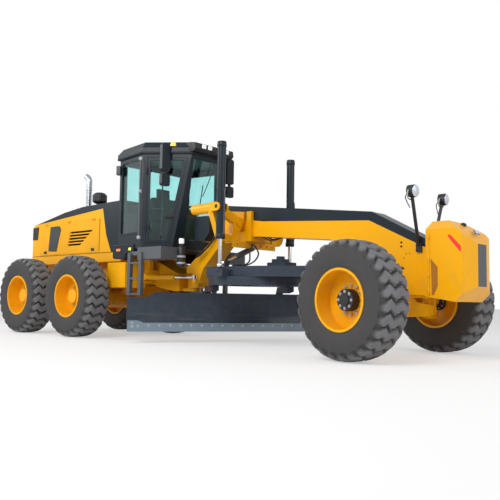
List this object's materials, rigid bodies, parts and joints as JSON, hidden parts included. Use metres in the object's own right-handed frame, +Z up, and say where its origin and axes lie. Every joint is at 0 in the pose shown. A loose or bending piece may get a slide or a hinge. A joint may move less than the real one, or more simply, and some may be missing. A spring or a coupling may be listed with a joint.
{
  "type": "motor grader",
  "caption": "Articulated six-wheel motor grader with a cab behind the gooseneck, an angled blade under a turning circle, tandem rear wheels and a nose counterweight.",
  "frame": {"origin": "on the ground under the middle of the machine's box, front wheels turned 8 degrees right and the blade angled as stored", "axes": "+X forward, +Y to the machine's left, +Z up"},
  "size_m": [8.8, 3.2371, 3.1198],
  "materials": {
    "yellow": "gloss",
    "black": "satin",
    "dark_grey": "satin",
    "mid_grey": "satin",
    "trim": "matte",
    "tyre": "matte",
    "glass": "clear",
    "seat_fabric": "matte",
    "chrome": "polished",
    "chrome_rod": "polished",
    "blade_paint": "satin",
    "edge_steel": "satin"
  },
  "bodies": {
    "chassis": {"rear_frame": "yellow", "rear_bumper": "dark_grey", "engine_block": "dark_grey", "hood": "yellow", "tandem_axle": "yellow", "cab_shell": "dark_grey", "cab_roof": "dark_grey", "cab_glass": "glass", "seat": "seat_fabric", "steering_console": "trim", "steps": "mid_grey", "exhaust_stack": "chrome", "pre_cleaner": "black"},
    "front_frame": {"front_frame": "yellow", "nose_weight": "yellow", "work_lights": "black", "front_axle": "yellow", "lift_saddle": "yellow"},
    "drawbar": {"drawbar": "blade_paint"},
    "circle": {"circle": "blade_paint", "ring_gear": "edge_steel"},
    "circle_pinion": {"circle_pinion": "edge_steel"},
    "blade_carrier": {"blade_carrier": "black"},
    "moldboard": {"moldboard": "blade_paint", "cutting_edge": "edge_steel"},
    "lean_bar": {"lean_bar": "yellow"},
    "tie_end": {"tie_end": "black"},
    "tie_rod": {"tie_rod": "black"},
    "shift_barrel": {"shift_barrel": "mid_grey"},
    "shift_rod": {"shift_rod": "chrome_rod"},
    "mid_wheel_left": {"mid_tyre_left": "tyre", "mid_rim_left": "yellow"},
    "rear_wheel_left": {"rear_tyre_left": "tyre", "rear_rim_left": "yellow"},
    "turn_barrel_left": {"turn_barrel_left": "yellow"},
    "turn_rod_left": {"turn_rod_left": "chrome_rod"},
    "cab_door_left": {"cab_door_left": "dark_grey", "door_glass_left": "glass"},
    "hood_door_left": {"hood_door_left": "yellow"},
    "mid_wheel_right": {"mid_tyre_right": "tyre", "mid_rim_right": "yellow"},
    "rear_wheel_right": {"rear_tyre_right": "tyre", "rear_rim_right": "yellow"},
    "turn_barrel_right": {"turn_barrel_right": "yellow"},
    "turn_rod_right": {"turn_rod_right": "chrome_rod"},
    "cab_door_right": {"cab_door_right": "dark_grey", "door_glass_right": "glass"},
    "hood_door_right": {"hood_door_right": "yellow"},
    "lean_yoke_left": {"lean_yoke_left": "yellow"},
    "knuckle_left": {"knuckle_left": "yellow"},
    "front_wheel_left": {"front_tyre_left": "tyre", "front_rim_left": "yellow"},
    "lean_yoke_right": {"lean_yoke_right": "yellow"},
    "knuckle_right": {"knuckle_right": "yellow"},
    "front_wheel_right": {"front_tyre_right": "tyre", "front_rim_right": "yellow"},
    "lift_barrel_left": {"lift_barrel_left": "dark_grey"},
    "lift_rod_left": {"lift_rod_left": "chrome_rod"},
    "lift_barrel_right": {"lift_barrel_right": "dark_grey"},
    "lift_rod_right": {"lift_rod_right": "chrome_rod"}
  },
  "joints": [
    {"name": "articulation", "type": "hinge", "parent": "chassis", "child": "front_frame", "pos_m": [-0.33, -0.2426, 0.95], "axis": [0, 0, 1], "range_deg": [-20, 20]},
    {"name": "mid_spin_left", "type": "hinge", "parent": "chassis", "child": "mid_wheel_left", "pos_m": [-2.04, 0.8349, 0.675], "axis": [0, 1, 0], "continuous": true},
    {"name": "rear_spin_left", "type": "hinge", "parent": "chassis", "child": "rear_wheel_left", "pos_m": [-3.66, 0.8349, 0.675], "axis": [0, 1, 0], "continuous": true},
    {"name": "turn_barrel_swing_left", "type": "hinge", "parent": "chassis", "child": "turn_barrel_left", "pos_m": [-1.03, 0.2074, 1], "axis": [0, 0, 1], "range_deg": [-8, 8]},
    {"name": "turn_rod_stroke_left", "type": "slide", "parent": "turn_barrel_left", "child": "turn_rod_left", "axis": [0.979, -0.204, 0], "range_m": [-0.2, 0.2]},
    {"name": "cab_door_hinge_left", "type": "hinge", "parent": "chassis", "child": "cab_door_left", "pos_m": [-0.58832, 0.5826, 2], "axis": [0, 0, 1], "range_deg": [0, 95]},
    {"name": "hood_door_hinge_left", "type": "hinge", "parent": "chassis", "child": "hood_door_left", "pos_m": [-3.115, 0.3694, 2.035], "axis": [1, 0, 0], "range_deg": [0, 75]},
    {"name": "mid_spin_right", "type": "hinge", "parent": "chassis", "child": "mid_wheel_right", "pos_m": [-2.04, -1.3201, 0.675], "axis": [0, 1, 0], "continuous": true},
    {"name": "rear_spin_right", "type": "hinge", "parent": "chassis", "child": "rear_wheel_right", "pos_m": [-3.66, -1.3201, 0.675], "axis": [0, 1, 0], "continuous": true},
    {"name": "turn_barrel_swing_right", "type": "hinge", "parent": "chassis", "child": "turn_barrel_right", "pos_m": [-1.03, -0.6926, 1], "axis": [0, 0, 1], "range_deg": [-8, 8]},
    {"name": "turn_rod_stroke_right", "type": "slide", "parent": "turn_barrel_right", "child": "turn_rod_right", "axis": [0.979, 0.204, 0], "range_m": [-0.2, 0.2]},
    {"name": "cab_door_hinge_right", "type": "hinge", "parent": "chassis", "child": "cab_door_right", "pos_m": [-0.58832, -1.0678, 2], "axis": [0, 0, -1], "range_deg": [0, 95]},
    {"name": "hood_door_hinge_right", "type": "hinge", "parent": "chassis", "child": "hood_door_right", "pos_m": [-3.115, -0.8546, 2.035], "axis": [-1, 0, 0], "range_deg": [0, 75]},
    {"name": "lean_left", "type": "hinge", "parent": "front_frame", "child": "lean_yoke_left", "pos_m": [3.38, 0.4774, 0.56], "axis": [1, 0, 0], "range_deg": [-17, 17]},
    {"name": "steer_left", "type": "hinge", "parent": "lean_yoke_left", "child": "knuckle_left", "pos_m": [3.38, 0.6074, 0.63], "axis": [0, 0, 1], "range_deg": [-37, 53]},
    {"name": "front_spin_left", "type": "hinge", "parent": "knuckle_left", "child": "front_wheel_left", "pos_m": [3.41166, 0.83269, 0.675], "axis": [0.1392, 0.9903, 0], "continuous": true},
    {"name": "lean_right", "type": "hinge", "parent": "front_frame", "child": "lean_yoke_right", "pos_m": [3.38, -0.9626, 0.56], "axis": [1, 0, 0], "range_deg": [-17, 17]},
    {"name": "steer_right", "type": "hinge", "parent": "lean_yoke_right", "child": "knuckle_right", "pos_m": [3.38, -1.0926, 0.63], "axis": [0, 0, 1], "range_deg": [-37, 53]},
    {"name": "front_spin_right", "type": "hinge", "parent": "knuckle_right", "child": "front_wheel_right", "pos_m": [3.34834, -1.31788, 0.675], "axis": [0.1392, 0.9903, 0], "continuous": true},
    {"name": "lean_bar_swing", "type": "hinge", "parent": "lean_yoke_left", "child": "lean_bar", "pos_m": [3.52, 0.4774, 0.73], "axis": [1, 0, 0], "range_deg": [-17, 17]},
    {"name": "tie_end_swivel", "type": "hinge", "parent": "knuckle_left", "child": "tie_end", "pos_m": [3.16214, 0.63802, 0.777], "axis": [0, 0, 1], "range_deg": [-53, 37]},
    {"name": "tie_rod_swing", "type": "hinge", "parent": "tie_end", "child": "tie_rod", "pos_m": [3.16214, 0.63802, 0.777], "axis": [1, 0, 0], "range_deg": [-17, 17]},
    {"name": "drawbar_lift", "type": "hinge", "parent": "front_frame", "child": "drawbar", "pos_m": [3.13, -0.2426, 1.03], "axis": [0, 1, 0], "range_deg": [-5, 6]},
    {"name": "lift_barrel_swing_left", "type": "hinge", "parent": "front_frame", "child": "lift_barrel_left", "pos_m": [1.01, 0.5374, 1.95], "axis": [0, 1, 0], "range_deg": [-3, 3]},
    {"name": "lift_rod_stroke_left", "type": "slide", "parent": "lift_barrel_left", "child": "lift_rod_left", "axis": [0, 0, -1], "range_m": [-0.3, 0.3]},
    {"name": "lift_barrel_swing_right", "type": "hinge", "parent": "front_frame", "child": "lift_barrel_right", "pos_m": [1.01, -1.0226, 1.95], "axis": [0, 1, 0], "range_deg": [-3, 3]},
    {"name": "lift_rod_stroke_right", "type": "slide", "parent": "lift_barrel_right", "child": "lift_rod_right", "axis": [0, 0, -1], "range_m": [-0.3, 0.3]},
    {"name": "shift_barrel_swing", "type": "hinge", "parent": "front_frame", "child": "shift_barrel", "pos_m": [0.88, -0.1226, 1.46], "axis": [1, 0, 0], "range_deg": [-25, 25]},
    {"name": "shift_rod_stroke", "type": "slide", "parent": "shift_barrel", "child": "shift_rod", "axis": [0, -0.9247, -0.3807], "range_m": [-0.2, 0.2]},
    {"name": "circle_turn", "type": "hinge", "parent": "drawbar", "child": "circle", "pos_m": [1.02, -0.2426, 0.89], "axis": [0, 0, -1], "range_deg": [-76, 14]},
    {"name": "circle_pinion_turn", "type": "hinge", "parent": "drawbar", "child": "circle_pinion", "pos_m": [1.484, -0.2426, 0.945], "axis": [0, 0, -1], "range_deg": [-391, 72.5]},
    {"name": "blade_tip", "type": "hinge", "parent": "circle", "child": "blade_carrier", "pos_m": [0.45855, 0.09475, 0.385], "axis": [0.515, 0.8572, 0], "range_deg": [-5, 20]},
    {"name": "blade_side_shift", "type": "slide", "parent": "blade_carrier", "child": "moldboard", "axis": [0.515, 0.8572, 0], "range_m": [-0.35, 0.35]}
  ],
  "couplings": [
    {"joint": "turn_barrel_swing_left", "follows": "articulation", "ratio": 0.205},
    {"joint": "turn_rod_stroke_left", "follows": "articulation", "m_per_rad": -0.295},
    {"joint": "turn_barrel_swing_right", "follows": "articulation", "ratio": 0.205},
    {"joint": "turn_rod_stroke_right", "follows": "articulation", "m_per_rad": 0.295},
    {"joint": "lean_right", "follows": "lean_left", "ratio": 1},
    {"joint": "steer_right", "follows": "steer_left", "ratio": 1},
    {"joint": "lean_bar_swing", "follows": "lean_left", "ratio": -1},
    {"joint": "tie_end_swivel", "follows": "steer_left", "ratio": -1},
    {"joint": "tie_rod_swing", "follows": "lean_left", "ratio": -0.85},
    {"joint": "lift_barrel_swing_left", "follows": "drawbar_lift", "ratio": -0.15},
    {"joint": "lift_rod_stroke_left", "follows": "drawbar_lift", "m_per_rad": -2.1225},
    {"joint": "lift_barrel_swing_right", "follows": "drawbar_lift", "ratio": -0.15},
    {"joint": "lift_rod_stroke_right", "follows": "drawbar_lift", "m_per_rad": -2.1225},
    {"joint": "shift_barrel_swing", "follows": "drawbar_lift", "ratio": -2.98},
    {"joint": "shift_rod_stroke", "follows": "drawbar_lift", "m_per_rad": -0.75},
    {"joint": "circle_pinion_turn", "follows": "circle_turn", "ratio": 5.1429}
  ]
}
